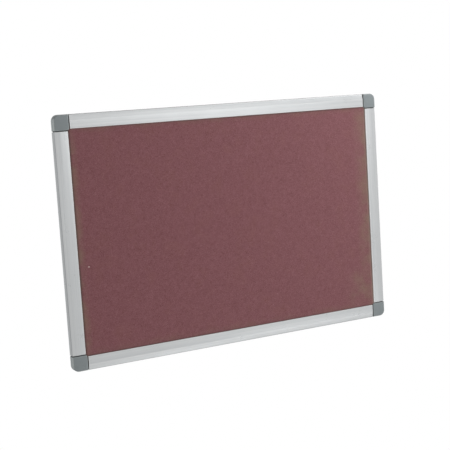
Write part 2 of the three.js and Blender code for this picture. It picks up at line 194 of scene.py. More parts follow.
felt_grid = 4 * mm
felt_rise = 0.25 * mm
felt_unevenness = 0.12 * mm
felt_swell = 45 * mm
felt_pinch = 6 * mm
felt_lip_clearance = 0.05 * mm
felt_notch_radius = 12.1 * mm
sharpest_corner = 0.2 * mm
cut_overrun = 1 * mm
felt_hair = 1.6 * mm
felt_fibre = 1.2 * mm
felt_tuft = 2.8 * mm
felt_cloud = 9 * mm
felt_patch = 38 * mm
felt_relief = 0.3 * mm
multiply = {"operation": "MULTIPLY"}
maximum = {"operation": "MAXIMUM"}
felt_handled_spot = (0.384, -0.217, 0)
felt_handled_reach = 75 * mm
felt_fleck_spot = (-0.391, -0.057)
felt_fleck_radius = 2.2 * mm
# For each side: how far in hands have soiled it and how much, and how wide and strong a line of
# painted light runs along the lip, with its colour: painted shade on the left and bottom, painted
# shade with a painted reflection of the metal at the top, and on the right a pale painted light
# over the lip's shadow, with some dust.
felt_margins = (
    ("X", -1, 22 * mm, 1.0, 7 * mm, 0.8, "#2E2321"),
    ("X", 1, 44 * mm, 0.95, 7 * mm, 0.55, "#A08A80"),
    ("Y", 1, 14 * mm, 0.4, 5 * mm, 0.25, "#7C7370"),
    ("Y", -1, 20 * mm, 0.3, 4 * mm, 0.4, "#443E3E"),
)


def new_piece(name, made):
    """An object made of a bmesh."""
    mesh = bpy.data.meshes.new(name)
    made.to_mesh(mesh)
    made.free()
    piece = bpy.data.objects.new(name, mesh)
    bpy.context.scene.collection.objects.link(piece)
    return piece


def skin(rings):
    """A closed bmesh through rings of equal length, each (outline, z), from the rear forwards."""
    made = bmesh.new()
    loops = [[made.verts.new((x, y, z)) for x, y in outline] for outline, z in rings]
    for near, far in zip(loops, loops[1:]):
        for index, corner in enumerate(near):
            following = (index + 1) % len(near)
            made.faces.new((corner, near[following], far[following], far[index]))
    made.faces.new(list(reversed(loops[0])))
    made.faces.new(loops[-1])
    return made


def carve(piece, operation, *tools):
    """Cuts bmesh tools out of a piece, or joins them to it, one after the other."""
    for made in tools:
        tool = new_piece("carving_tool", made)
        change = piece.modifiers.new("carve", "BOOLEAN")
        change.operation = operation
        change.solver = "EXACT"
        change.object = tool
        settled = bpy.context.evaluated_depsgraph_get()
        carved = bpy.data.meshes.new_from_object(piece.evaluated_get(settled))
        piece.modifiers.remove(change)
        piece.data = carved
        bpy.data.objects.remove(tool)


def corner_outline(low, high, outer_radius, side_radius, inner_radius):
    """The outline of a corner piece, counter-clockwise, in a square that runs from low to high
    in x and from -low to -high in y. The board's own corner lies at the origin."""
    corners = (
        (low, -high, side_radius, 2 * quarter_turn, 4),
        (high, -high, inner_radius, -quarter_turn, 10),
        (high, -low, side_radius, 0, 4),
        (low, -low, outer_radius, quarter_turn, 18),
    )
    middle = (low + high) / 2
    points = []
    for x, y, wanted_radius, turn, steps in corners:
        radius = max(wanted_radius, sharpest_corner)
        centre_x = x + math.copysign(radius, middle - x)
        centre_y = y + math.copysign(radius, -middle - y)
        for step in range(steps + 1):
            angle = turn + quarter_turn * step / steps
            points.append((centre_x + radius * math.cos(angle), centre_y + radius * math.sin(angle)))
    return points


def corner_place(quarter):
    """Takes a piece drawn for the top left corner to another one, a quarter turn apart."""
    side_x, side_y = ((-1, 1), (-1, -1), (1, -1), (1, 1))[quarter]
    corner = Matrix.Translation((side_x * board_half_width, side_y * board_half_height, 0))
    return corner @ Matrix.Rotation(quarter * quarter_turn, 4, "Z")


def felt_face(x, y, front):
    """How far forward the felt's face lies: it swells a little, and the lip pinches it flat."""
    from_lip = min(board_half_width - abs(x), board_half_height - abs(y)) - rail_face_width
    open_share = max(0, min(1, from_lip / felt_pinch))
    eased = open_share * open_share * (3 - 2 * open_share)
    swell = noise.noise(Vector((x, y, 0)) / felt_swell)
    pressed = front + felt_rise - felt_lip_clearance
    return pressed + eased * (felt_lip_clearance + felt_unevenness * swell)


def felt_sheet():
    """The felt's own shape: a fine grid in front, a cut edge all round and a flat glued rear."""
    low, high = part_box("felt_cover")
    rear = -high.y
    front = -low.y
    columns = round((high.x - low.x) / felt_grid)
    rows = round((high.z - low.z) / felt_grid)
    made = bmesh.new()
    grid = []
    for row in range(rows + 1):
        y = low.z + (high.z - low.z) * row / rows
        line = []
        for column in range(columns + 1):
            x = low.x + (high.x - low.x) * column / columns
            line.append(made.verts.new((x, y, felt_face(x, y, front))))
        grid.append(line)
    for lower, upper in zip(grid, grid[1:]):
        for column in range(columns):
            made.faces.new((lower[column], lower[column + 1], upper[column + 1], upper[column]))
    rim = grid[0] + [line[-1] for line in grid[1:-1]]
    rim += list(reversed(grid[-1])) + [line[0] for line in reversed(grid[1:-1])]
    foot = [made.verts.new((corner.co.x, corner.co.y, rear)) for corner in rim]
    for index, corner in enumerate(rim):
        following = (index + 1) % len(rim)
        made.faces.new((foot[index], foot[following], rim[following], corner))
    made.faces.new(list(reversed(foot)))
    sheet = new_piece("felt_cover_sheet", made)

    notch = corner_outline(
        -cut_overrun, rail_setback, cut_overrun, cut_overrun, felt_notch_radius)
    for quarter in range(4):
        cutter = skin([(notch, rear - cut_overrun), (notch, front + 2 * cut_overrun)])
        cutter.transform(corner_place(quarter))
        carve(sheet, "DIFFERENCE", cutter)
    return sheet


def wool_felt_needled(tree, place):
    """Needled wool-blend felt: matt maroon, mottled by paler fibres, soiled by hands round its
    edge, with a line of painted shade and painted light along the lip, and torn pale in one spot
    by a pin. Its fibres are drawn as coarse tufts, or they won't show."""
    fibres = add_node(tree, "ShaderNodeTexNoise", inputs={
        "Vector": place, "Scale": 1 / felt_fibre, "Detail": 1, "Distortion": 1.5})
    hairs = add_node(tree, "ShaderNodeTexNoise", {"noise_type": "RIDGED_MULTIFRACTAL"}, {
        "Vector": place, "Scale": 1 / felt_hair, "Detail": 2, "Distortion": 2.5})
    tufts = add_node(tree, "ShaderNodeTexNoise", inputs={
        "Vector": place, "Scale": 1 / felt_tuft, "Detail": 1.5, "Roughness": 0.6,
        "Distortion": 0.5})
    clouds = add_node(tree, "ShaderNodeTexNoise", inputs={
        "Vector": place, "Scale": 1 / felt_cloud, "Detail": 1})
    patches = add_node(tree, "ShaderNodeTexNoise", inputs={
        "Vector": place, "Scale": 1 / felt_patch, "Detail": 3, "Roughness": 0.6})
    fine = add_node(tree, "ShaderNodeMix", inputs={"Factor": 0.3, "A": tufts, "B": fibres})
    nap = add_node(tree, "ShaderNodeMix", inputs={"Factor": 0.17, "A": fine, "B": clouds})
    shade = add_node(tree, "ShaderNodeMapRange", inputs={
        "Value": nap, "From Min": 0.39, "From Max": 0.61})
    dyed = add_node(tree, "ShaderNodeMix", of_colours, {
        "Factor": shade, "A": linear("#673A3E"), "B": linear("#7B4D52")})
    uneven_dye = add_node(tree, "ShaderNodeMapRange", inputs={
        "Value": patches, "From Min": 0.5, "From Max": 0.7, "To Max": 0.3})
    ground = add_node(tree, "ShaderNodeMix", of_colours, {
        "Factor": uneven_dye, "A": dyed, "B": linear("#744944")})
    pale_hairs = add_node(tree, "ShaderNodeMapRange", inputs={
        "Value": hairs, "From Min": 0.04, "From Max": 0.25, "To Max": 0.6})
    haired = add_node(tree, "ShaderNodeMix", of_colours, {
        "Factor": pale_hairs, "A": ground, "B": linear("#996F74")})

    axes = add_node(tree, "ShaderNodeSeparateXYZ", inputs={"Vector": place})
    spot = add_node(tree, "ShaderNodeVectorMath", {"operation": "DISTANCE"}, {
        0: place, 1: felt_handled_spot})
    soiled = add_node(tree, "ShaderNodeMapRange", {"interpolation_type": "SMOOTHSTEP"}, {
        "Value": spot, "From Min": felt_handled_reach, "From Max": 0, "To Max": 0.8})
    painted_lip_lines = []
    for axis, side, width, soiling, painted_line_width, painted_line_share, painted_line_colour in felt_margins:
        lip = (board_half_width if axis == "X" else board_half_height) - rail_face_width
        outward = add_node(tree, "ShaderNodeMath", multiply, {0: axes.outputs[axis], 1: side})
        margin = add_node(tree, "ShaderNodeMapRange", inputs={
            "Value": outward, "From Min": lip - width, "From Max": lip, "To Max": soiling})
        soiled = add_node(tree, "ShaderNodeMath", maximum, {0: soiled, 1: margin})
        line = add_node(tree, "ShaderNodeMapRange", inputs={
            "Value": outward, "From Min": lip - painted_line_width, "From Max": lip, "To Max": painted_line_share})
        painted_lip_lines.append((line, painted_line_colour))
    settled = add_node(tree, "ShaderNodeMapRange", inputs={
        "Value": patches, "From Min": 0.35, "From Max": 0.62, "To Min": 0.15, "To Max": 0.75})
    dust = add_node(tree, "ShaderNodeMath", multiply, {0: soiled, 1: settled})
    colour = add_node(tree, "ShaderNodeMix", of_colours, {
        "Factor": dust, "A": haired, "B": linear("#7B6957")})
    # Each line along the lip is painted light: shade on the left and bottom, shade and reflection at
    # the top, and pale light over the lip's shadow on the right.
    for line, painted_line_colour in painted_lip_lines:
        colour = add_node(tree, "ShaderNodeMix", of_colours, {
            "Factor": line, "A": colour, "B": linear(painted_line_colour)})
    fleck = add_node(tree, "ShaderNodeVectorMath", {"operation": "DISTANCE"}, {
        0: place, 1: (*felt_fleck_spot, -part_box("felt_cover")[0].y)})
    torn = add_node(tree, "ShaderNodeMapRange", inputs={
        "Value": fleck, "From Min": felt_fleck_radius, "From Max": 0.5 * felt_fleck_radius,
        "To Max": 0.8})
    colour = add_node(tree, "ShaderNodeMix", of_colours, {
        "Factor": torn, "A": colour, "B": linear("#C6B2AE")})

    pile = add_node(tree, "ShaderNodeMath", {"operation": "ADD"}, {0: fine, 1: hairs})
    relief = add_node(tree, "ShaderNodeBump", inputs={
        "Strength": 0.6, "Distance": felt_relief, "Height": pile})
    return add_node(tree, "ShaderNodeBsdfPrincipled", inputs={
        "Base Color": colour, "Roughness": 0.95, "IOR": 1.45,
        "Specular IOR Level": 0.35, "Sheen Weight": 0.15, "Sheen Roughness": 0.5,
        "Normal": relief})


felt = felt_sheet()
felt.data.shade_smooth()
felt.data.set_sharp_from_angle(angle=math.radians(30))
felt.data.materials.append(new_material(wool_felt_needled))
felt.matrix_world = stand_up
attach(felt, "board")
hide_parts("felt_cover")


# The corner brackets: injection-moulded nylon, one in each corner. Two barbed legs are driven
# into the rails' chambers, and the block between them stops the rails' ends, takes the wall
# screw in a tower and holds the cap by two pegs.

fit_gap = 0.3 * mm
cap_wall = 1.6 * mm
cap_outer_radius = 15 * mm
peg_radius = 3 * mm
peg_places = ((9.26 * mm, 28.95 * mm), (28.95 * mm, 9.26 * mm))
bracket_outer = cap_wall + fit_gap
bracket_inner = rail_setback - fit_gap
bracket_inner_radius = felt_notch_radius - fit_gap
bracket_wall = 1.8 * mm
bracket_base = 2.4 * mm
bracket_front = 14.5 * mm
bracket_rib_front = 8 * mm
bracket_side_radius = 1.5 * mm
bracket_edge_break = 0.25 * mm
weld_distance = 0.01 * mm
socket_wall = 1.5 * mm
socket_front = 13 * mm
wall_screw_inset = 20 * mm
wall_screw_hole = 3.25 * mm
wall_screw_counterbore = 5.25 * mm
wall_screw_seat = 4 * mm
tower_wall = 1.4 * mm
tower_front = 9 * mm
chamber_centre = 7.4 * mm
leg_reach = 46 * mm
leg_rear = 3.7 * mm
leg_front = 13.1 * mm
leg_tip_half = 5.7 * mm
leg_taper_length = 5 * mm
leg_taper_depth = 1.6 * mm
leg_pocket_rib = 1.6 * mm
leg_pocket_count = 4
leg_web = 1.8 * mm
barb_height = 0.9 * mm
barb_pitch = 8 * mm
barb_lead = 4 * mm
barb_ramp_share = 0.8
barb_count = 4
screw_inset = 14 * mm
screw_boss_radius = 3.5 * mm
screw_hole_radius = 1.75 * mm
screw_hole_front = 11.8 * mm
nylon_grain = 0.35 * mm
nylon_flow = 9 * mm
nylon_relief = 0.03 * mm


def circle(x, y, radius, sides=40):
    """A round outline, counter-clockwise."""
    turns = [2 * math.pi * side / sides for side in range(sides)]
    return [(x + radius * math.cos(turn), y + radius * math.sin(turn)) for turn in turns]


def rectangle(left, right, low, high):
    """A four-cornered outline, counter-clockwise."""
    return [(left, low), (right, low), (right, high), (left, high)]


def prism(outline, rear, front):
    """A bmesh with one outline all the way."""
    return skin([(outline, rear), (outline, front)])


def moved_shape(piece, place):
    """A bmesh of a piece's shape, moved to another place."""
    made = bmesh.new()
    made.from_mesh(piece.data)
    made.transform(place)
    return made


def bracket_leg():
    """A leg along x, with its middle on y = 0: barbed edges, a taper and pockets behind."""
    root_half = leg_tip_half - barb_height
    leg_end = rail_setback + leg_reach
    taper_from = leg_end - leg_taper_length
    upper = [(bracket_inner - bracket_wall, root_half)]
    for barb in range(barb_count):
        step = rail_setback + barb_lead + barb * barb_pitch
        upper.append((step, root_half))
        upper.append((step, leg_tip_half))
        upper.append((step + barb_ramp_share * barb_pitch, root_half))
    upper.append((taper_from, root_half))
    upper.append((leg_end, root_half - leg_taper_depth))
    outline = [(x, -y) for x, y in upper] + list(reversed(upper))
    leg = new_piece("bracket_leg", prism(outline, leg_rear, leg_front))

    pocket_half = root_half - bracket_wall
    pockets_from = bracket_inner + leg_pocket_rib
    pocket_pitch = (taper_from - pockets_from) / leg_pocket_count
    for pocket in range(leg_pocket_count):
        start = pockets_from + pocket * pocket_pitch
        opening = rectangle(
            start, start + pocket_pitch - leg_pocket_rib, -pocket_half, pocket_half)
        carve(leg, "DIFFERENCE", prism(opening, leg_rear - cut_overrun, leg_front - leg_web))
    screw_along = rail_setback + screw_inset
    carve(leg, "UNION", prism(circle(screw_along, 0, screw_boss_radius), leg_rear, leg_front))
    carve(leg, "DIFFERENCE", prism(
        circle(screw_along, 0, screw_hole_radius), leg_rear - cut_overrun, screw_hole_front))
    return leg


def bracket_shape():
    """The block as a tray that opens forwards, with its ribs, tower, sockets and two legs."""
    outer_radius = cap_outer_radius - bracket_outer
    pocket_outer = bracket_outer + bracket_wall
    pocket_inner = bracket_inner - bracket_wall
    outline = corner_outline(
        bracket_outer, bracket_inner, outer_radius, bracket_side_radius, bracket_inner_radius)
    pocket = corner_outline(
        pocket_outer, pocket_inner, outer_radius - bracket_wall, bracket_side_radius,
        bracket_inner_radius - bracket_wall)
    past_front = bracket_front + cut_overrun
    bracket = new_piece("corner_bracket", prism(outline, 0, bracket_front))
    carve(bracket, "DIFFERENCE", prism(pocket, bracket_base, past_front))

    half_wall = bracket_wall / 2
    near = pocket_outer - half_wall
    far = pocket_inner + half_wall
    rib_rear = bracket_base / 2
    centre = wall_screw_inset
    level_rib = rectangle(near, far, -centre - half_wall, half_wall - centre)
    upright_rib = rectangle(centre - half_wall, centre + half_wall, -far, -near)
    tower = circle(centre, -centre, wall_screw_counterbore + tower_wall)
    carve(bracket, "UNION", prism(level_rib, rib_rear, bracket_rib_front),
          prism(upright_rib, rib_rear, bracket_rib_front), prism(tower, rib_rear, tower_front))
    counterbore = circle(centre, -centre, wall_screw_counterbore)
    hole = circle(centre, -centre, wall_screw_hole)
    carve(bracket, "DIFFERENCE", prism(counterbore, wall_screw_seat, past_front),
          prism(hole, -cut_overrun, past_front))
    for across, down in peg_places:
        bore = peg_radius + fit_gap
        carve(bracket, "UNION", prism(
            circle(across, -down, bore + socket_wall), rib_rear, socket_front))
        carve(bracket, "DIFFERENCE", prism(circle(across, -down, bore), bracket_base, past_front))

    leg = bracket_leg()
    level_leg = Matrix.Translation((0, -chamber_centre, 0))
    upright_leg = Matrix.Translation((chamber_centre, 0, 0)) @ Matrix.Rotation(-quarter_turn, 4, "Z")
    carve(bracket, "UNION", moved_shape(leg, level_leg), moved_shape(leg, upright_leg))
    bpy.data.objects.remove(leg)
    return bracket


def finish_edges(piece, edge_break):
    """Merges flat faces, breaks the sharp edges as a mould or die leaves them, and shades what
    is round smoothly."""
    made = bmesh.new()
    made.from_mesh(piece.data)
    bmesh.ops.remove_doubles(made, verts=made.verts, dist=weld_distance)
    bmesh.ops.dissolve_limit(
        made, angle_limit=math.radians(0.5), verts=made.verts, edges=made.edges)
    made.to_mesh(piece.data)
    made.free()
    piece.data.shade_smooth()
    bevel = piece.modifiers.new("broken_edges", "BEVEL")
    bevel.width = edge_break
    bevel.segments = 2
    bevel.limit_method = "ANGLE"
    bevel.angle_limit = math.radians(40)
    bevel.use_clamp_overlap = False
    bevel.harden_normals = True


def glass_filled_nylon_moulded(tree, place):
    """Glass-filled nylon from a spark-eroded mould: near black, matt, with faint flow marks."""
    grain = add_node(tree, "ShaderNodeTexNoise", inputs={
        "Vector": place, "Scale": 1 / nylon_grain, "Detail": 2})
    flow = add_node(tree, "ShaderNodeTexNoise", inputs={
        "Vector": place, "Scale": 1 / nylon_flow, "Detail": 3, "Distortion": 2})
    colour = add_node(tree, "ShaderNodeMix", of_colours, {
        "Factor": flow, "A": linear("#202224"), "B": linear("#303336")})
    polish = add_node(tree, "ShaderNodeMapRange", inputs={
        "Value": flow, "To Min": 0.5, "To Max": 0.7})
    relief = add_node(tree, "ShaderNodeBump", inputs={
        "Strength": 0.4, "Distance": nylon_relief, "Height": grain})
    return add_node(tree, "ShaderNodeBsdfPrincipled", inputs={
        "Base Color": colour, "Roughness": polish, "IOR": 1.53, "Normal": relief})


def placed_copy(shape, name, place):
    """A copy of a shape, put in its place and stood up with the board."""
    piece = shape.copy()
    piece.name = name
    bpy.context.scene.collection.objects.link(piece)
    piece.matrix_world = stand_up @ place
    return piece


corner_names = ("top_left", "bottom_left", "bottom_right", "top_right")
bracket = bracket_shape()
bracket.data.materials.append(new_material(glass_filled_nylon_moulded))
finish_edges(bracket, bracket_edge_break)
for quarter, corner in enumerate(corner_names):
    piece = placed_copy(bracket, f"bracket_{corner}_moulding", corner_place(quarter))
    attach(piece, "board")
    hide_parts(f"corner_bracket_{corner}")
bpy.data.objects.remove(bracket)


# The rails: four lengths of one hollow aluminium extrusion, sawn square and satin anodised. The
# panel stands in their groove, and a chamber behind the sloped band takes the bracket's leg.

rail_wall = 1.4 * mm
rail_edge_drop = 2 * mm
rail_edge_radius = 1.5 * mm
rail_corner_radius = 0.25 * mm
rail_saw_break = 0.15 * mm
chamber_outer = rail_wall
chamber_inner = 13.4 * mm
chamber_rear = 3.4 * mm
groove_floor = chamber_inner + rail_wall
rear_flange_edge = 25.4 * mm
lip_bead_width = 1.6 * mm
lip_bead_depth = 2.2 * mm
lip_bead_radius = 0.8 * mm
channel_half = 4.5 * mm
channel_depth = 2 * mm
locating_rib_width = 1 * mm
locating_rib_front = 13.4 * mm
locating_rib_places = (5 * mm, 9.8 * mm)
die_line = 0.35 * mm
die_band = 2.6 * mm
die_line_length = 90 * mm
etch_grain = 0.3 * mm
etch_relief = 0.02 * mm
handling_patch = 55 * mm
lip_edge_width = 1.4 * mm
lip_edge_full = 0.3 * mm
outer_edge_width = 1.8 * mm
outer_edge_full = 0.5 * mm
outer_edge_rear = 13.4 * mm
outer_edge_front = 14.6 * mm
shaded_side_width = 1.6 * mm
shaded_side_full = 0.6 * mm
pattern_shift = (1.7, 2.3, 0.9)
multiply_add = {"operation": "MULTIPLY_ADD"}


def rounded(corners):
    """An outline through (x, y, radius) corners, each one rounded by its radius."""
    nearly_straight = math.radians(89)
    arc_step = math.radians(18)
    points = []
    for index, (x, y, radius) in enumerate(corners):
        here = Vector((x, y))
        back = (Vector(corners[index - 1][:2]) - here).normalized()
        ahead = (Vector(corners[(index + 1) % len(corners)][:2]) - here).normalized()
        half = back.angle(ahead) / 2
        if radius == 0 or half > nearly_straight:
            points.append((x, y))
            continue
        centre = here + (back + ahead).normalized() * (radius / math.sin(half))
        spoke = here + back * (radius / math.tan(half)) - centre
        last_spoke = here + ahead * (radius / math.tan(half)) - centre
        sweep = spoke.angle_signed(last_spoke)
        steps = max(2, math.ceil(abs(sweep) / arc_step))
        for step in range(steps + 1):
            arm = spoke.copy()
            arm.rotate(Matrix.Rotation(-sweep * step / steps, 2))
            points.append(tuple(centre + arm))
    return points


def face_front(across):
    """How far out the rail's face lies: it slopes up over the chamber and is flat from there."""
    return rail_depth - rail_edge_drop * (1 - min(across / chamber_inner, 1))


def rail_section():
    """The rail's outline and its chamber's, with x in from the outer side, y out of the wall."""
    corner = rail_corner_radius
    channel_from = chamber_centre - channel_half
    channel_to = chamber_centre + channel_half
    bead_from = rail_face_width - lip_bead_width
    bead_rear = rail_depth - lip_bead_depth
    lip_rear = rail_depth - rail_wall
    outline = rounded([
        (0, 0, corner),
        (channel_from, 0, corner),
        (channel_from, channel_depth, corner),
        (channel_to, channel_depth, corner),
        (channel_to, 0, corner),
        (rear_flange_edge, 0, corner),
        (rear_flange_edge, rail_wall, corner),
        (groove_floor, rail_wall, corner),
        (groove_floor, lip_rear, corner),
        (bead_from, lip_rear, corner),
        (bead_from, bead_rear, corner),
        (rail_face_width, bead_rear, corner),
        (rail_face_width, rail_depth, lip_bead_radius),
        (chamber_inner, rail_depth, corner),
        (0, face_front(0), rail_edge_radius),
    ])
    chamber = [(chamber_outer, chamber_rear, corner)]
    chamber.append((chamber_outer, face_front(chamber_outer) - rail_wall, corner))
    for place in locating_rib_places:
        for across in (place - locating_rib_width / 2, place + locating_rib_width / 2):
            root = (across, face_front(across) - rail_wall, 0)
            tip = (across, locating_rib_front, 0)
            chamber += [root, tip] if across < place else [tip, root]
    chamber.append((chamber_inner, face_front(chamber_inner) - rail_wall, corner))
    chamber.append((chamber_inner, chamber_rear, corner))
    return outline, rounded(chamber)


def rail_shape(name, length):
    """A rail as it lies along the top of the board, with its outer side at y = 0."""
    made = bmesh.new()
    edges = []
    for outline in rail_section():
        loop = [made.verts.new((-length / 2, -across, out)) for across, out in outline]
        for index, corner in enumerate(loop):
            edges.append(made.edges.new((corner, loop[(index + 1) % len(loop)])))
    bmesh.ops.triangle_fill(made, use_beauty=True, edges=edges)
    pulled = bmesh.ops.extrude_face_region(made, geom=made.faces[:], use_keep_orig=True)
    far_end = [part for part in pulled["geom"] if isinstance(part, bmesh.types.BMVert)]
    bmesh.ops.translate(made, verts=far_end, vec=(length, 0, 0))
    bmesh.ops.recalc_face_normals(made, faces=made.faces)
    rail = new_piece(name, made)
    for side in (-1, 1):
        hole = circle(side * (length / 2 - screw_inset), -chamber_centre, screw_hole_radius)
        carve(rail, "DIFFERENCE", prism(hole, channel_depth - cut_overrun, chamber_rear + cut_overrun))
    return rail


def own_pattern(tree, place):
    """Coordinates that are shifted for each object, so that like pieces aren't marked alike."""
    own = add_node(tree, "ShaderNodeObjectInfo").outputs["Random"]
    shift = add_node(tree, "ShaderNodeVectorMath", {"operation": "SCALE"}, {
        0: pattern_shift, "Scale": own})
    return add_node(tree, "ShaderNodeVectorMath", {"operation": "ADD"}, {0: place, 1: shift})


def facing_up(tree, most):
    """A factor that reaches its most on the faces that look up, where dust settles and painted shade
    goes.
    """
    facing = add_node(tree, "ShaderNodeSeparateXYZ", inputs={
        "Vector": add_node(tree, "ShaderNodeNewGeometry").outputs["Normal"]})
    return add_node(tree, "ShaderNodeMapRange", inputs={
        "Value": facing.outputs["Z"], "From Min": 0.2, "From Max": 0.6, "To Max": most})


def aluminium_satin_anodised(tree, place):
    """Etched and clear anodised aluminium: pale grey and satin, with faint die lines along it.
    The oxide scatters light, so it isn't all metallic. The lip's edge has a pale, patchy painted
    highlight, the outer sides a painted shade, and what faces up is darkened by matt dust and
    painted shade, thickest on the lower lip."""
    pattern = own_pattern(tree, place)
    drawn_out = add_node(tree, "ShaderNodeMapping", inputs={
        "Vector": pattern, "Scale": (die_line / die_line_length, 1, 1)})
    lines = add_node(tree, "ShaderNodeTexNoise", inputs={
        "Vector": drawn_out, "Scale": 1 / die_line, "Detail": 3, "Roughness": 0.65})
    bands = add_node(tree, "ShaderNodeTexNoise", inputs={
        "Vector": drawn_out, "Scale": 1 / die_band, "Detail": 1})
    etch = add_node(tree, "ShaderNodeTexNoise", inputs={
        "Vector": pattern, "Scale": 1 / etch_grain, "Detail": 2})
    patches = add_node(tree, "ShaderNodeTexNoise", inputs={
        "Vector": pattern, "Scale": 1 / handling_patch, "Detail": 3})
    drawn = add_node(tree, "ShaderNodeMix", inputs={"Factor": 0.5, "A": lines, "B": bands})
    shade = add_node(tree, "ShaderNodeMapRange", inputs={
        "Value": drawn, "From Min": 0.3, "From Max": 0.7})
    ground = add_node(tree, "ShaderNodeMix", of_colours, {
        "Factor": shade, "A": linear("#ACAFB1"), "B": linear("#C0C1C1")})

    axes = add_node(tree, "ShaderNodeSeparateXYZ", inputs={"Vector": place})
    lip_edge = add_node(tree, "ShaderNodeMapRange", inputs={
        "Value": axes.outputs["Y"], "From Min": lip_edge_width - rail_face_width,
        "From Max": lip_edge_full - rail_face_width})
    outer_side = add_node(tree, "ShaderNodeMapRange", inputs={
        "Value": axes.outputs["Y"], "From Min": -outer_edge_width, "From Max": -outer_edge_full})
    outer_front = add_node(tree, "ShaderNodeMapRange", inputs={
        "Value": axes.outputs["Z"], "From Min": outer_edge_rear, "From Max": outer_edge_front})
    outer_edge = add_node(tree, "ShaderNodeMath", multiply, {0: outer_side, 1: outer_front})
    edges = add_node(tree, "ShaderNodeMath", maximum, {0: lip_edge, 1: outer_edge})
    # A pale, patchy painted highlight along the lip's edge.
    painted_highlight = add_node(tree, "ShaderNodeMath", multiply, {0: lip_edge, 1: patches})
    # The outer side is painted darker: painted shade.
    painted_side_shade = add_node(tree, "ShaderNodeMapRange", inputs={
        "Value": axes.outputs["Y"], "From Min": -shaded_side_width, "From Max": -shaded_side_full,
        "To Max": 0.57})
    side_shaded = add_node(tree, "ShaderNodeMix", of_colours, {
        "Factor": painted_side_shade, "A": ground, "B": linear("#6F7376")})
    highlighted = add_node(tree, "ShaderNodeMix", of_colours, {
        "Factor": painted_highlight, "A": side_shaded, "B": linear("#EDECEA")})
    # What faces up is darkened by dust and painted shade, at full strength on the lip's edge.
    dust_and_shade_strength = add_node(tree, "ShaderNodeMath", maximum, {0: lip_edge, 1: 0.5})
    settled = add_node(tree, "ShaderNodeMath", multiply, {0: facing_up(tree, 0.8), 1: dust_and_shade_strength})
    colour = add_node(tree, "ShaderNodeMix", of_colours, {
        "Factor": settled, "A": highlighted, "B": linear("#695F5B")})

    worn = add_node(tree, "ShaderNodeMath", multiply_add, {0: patches, 1: 0.14, 2: 0.19})
    dull_edges = add_node(tree, "ShaderNodeMath", multiply_add, {0: edges, 1: 0.3, 2: worn})
    polish = add_node(tree, "ShaderNodeMath", multiply_add, {0: lines, 1: 0.08, 2: dull_edges})
    dull_dust = add_node(tree, "ShaderNodeMath", multiply_add, {0: settled, 1: 0.7, 2: polish})
    height = add_node(tree, "ShaderNodeMath", multiply_add, {0: etch, 1: 0.4, 2: lines})
    relief = add_node(tree, "ShaderNodeBump", inputs={
        "Strength": 0.1, "Distance": etch_relief, "Height": height})
    return add_node(tree, "ShaderNodeBsdfPrincipled", inputs={
        "Base Color": colour, "Metallic": 0.6, "Roughness": dull_dust, "Normal": relief})


aluminium = new_material(aluminium_satin_anodised)
rail_lengths = {
    "level": 2 * (board_half_width - rail_setback),
    "upright": 2 * (board_half_height - rail_setback),
}
rails = {run: rail_shape(f"rail_{run}", length) for run, length in rail_lengths.items()}
for rail in rails.values():
    rail.data.materials.append(aluminium)
    finish_edges(rail, rail_saw_break)
sides = (
    ("top", "level", board_half_height),
    ("left", "upright", board_half_width),
    ("bottom", "level", board_half_height),
    ("right", "upright", board_half_width),
)
for quarter, (side, run, out) in enumerate(sides):
    place = Matrix.Rotation(quarter * quarter_turn, 4, "Z") @ Matrix.Translation((0, out, 0))
    piece = placed_copy(rails[run], f"{side}_rail_extrusion", place)
    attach(piece, "board")
    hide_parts(f"rail_{side}")
for rail in rails.values():
    bpy.data.objects.remove(rail)


# The bracket screws: zinc-plated steel with a pan head and a cross recess. Two a corner go in
# from behind, in the rails' channel, and lock the legs in their chambers.

screw_head_rear = 0.1 * mm
screw_head_height = 1.6 * mm
screw_head_radius = 2.8 * mm
screw_head_flat_radius = 1.9 * mm
screw_head_rim_height = 0.96 * mm
screw_shank_radius = 1.45 * mm
screw_shank_length = 9.5 * mm
screw_tip_length = 2 * mm
screw_tip_radius = 0.15 * mm
screw_edge_break = 0.06 * mm
recess_half_width = 0.4 * mm
recess_half_span = 1.6 * mm
recess_depth = 0.9 * mm
recess_foot_share = 0.55
screw_turns = (12, 71, 38, 95, 5, 54, 80, 27)
zinc_cloud = 2.5 * mm
zinc_relief = 0.02 * mm


def screw_shape():
    """A screw on the z axis, with its head at the rear: a low dome that runs into a rim."""
    head_front = screw_head_rear + screw_head_height
    tip_front = head_front + screw_shank_length
    dome_steps = 7
    rings = []
    for step in range(dome_steps + 1):
        angle = quarter_turn * step / dome_steps
        spread = screw_head_radius - screw_head_flat_radius
        drop = screw_head_height - screw_head_rim_height
        rings.append((
            circle(0, 0, screw_head_flat_radius + spread * math.sin(angle)),
            screw_head_rear + drop * (1 - math.cos(angle)),
        ))
    rings.append((circle(0, 0, screw_head_radius), head_front))
    rings.append((circle(0, 0, screw_shank_radius), head_front))
    rings.append((circle(0, 0, screw_shank_radius), tip_front - screw_tip_length))
    rings.append((circle(0, 0, screw_tip_radius), tip_front))
    screw = new_piece("bracket_screw", skin(rings))
    foot = recess_foot_share
    wide_slot = (recess_half_span, recess_half_width)
    for half_x, half_y in (wide_slot, reversed(wide_slot)):
        mouth = rectangle(-half_x, half_x, -half_y, half_y)
        narrow = rectangle(-half_x * foot, half_x * foot, -half_y * foot, half_y * foot)
        carve(screw, "DIFFERENCE", skin([
            (mouth, screw_head_rear - cut_overrun), (mouth, screw_head_rear),
            (narrow, screw_head_rear + recess_depth)]))
    return screw


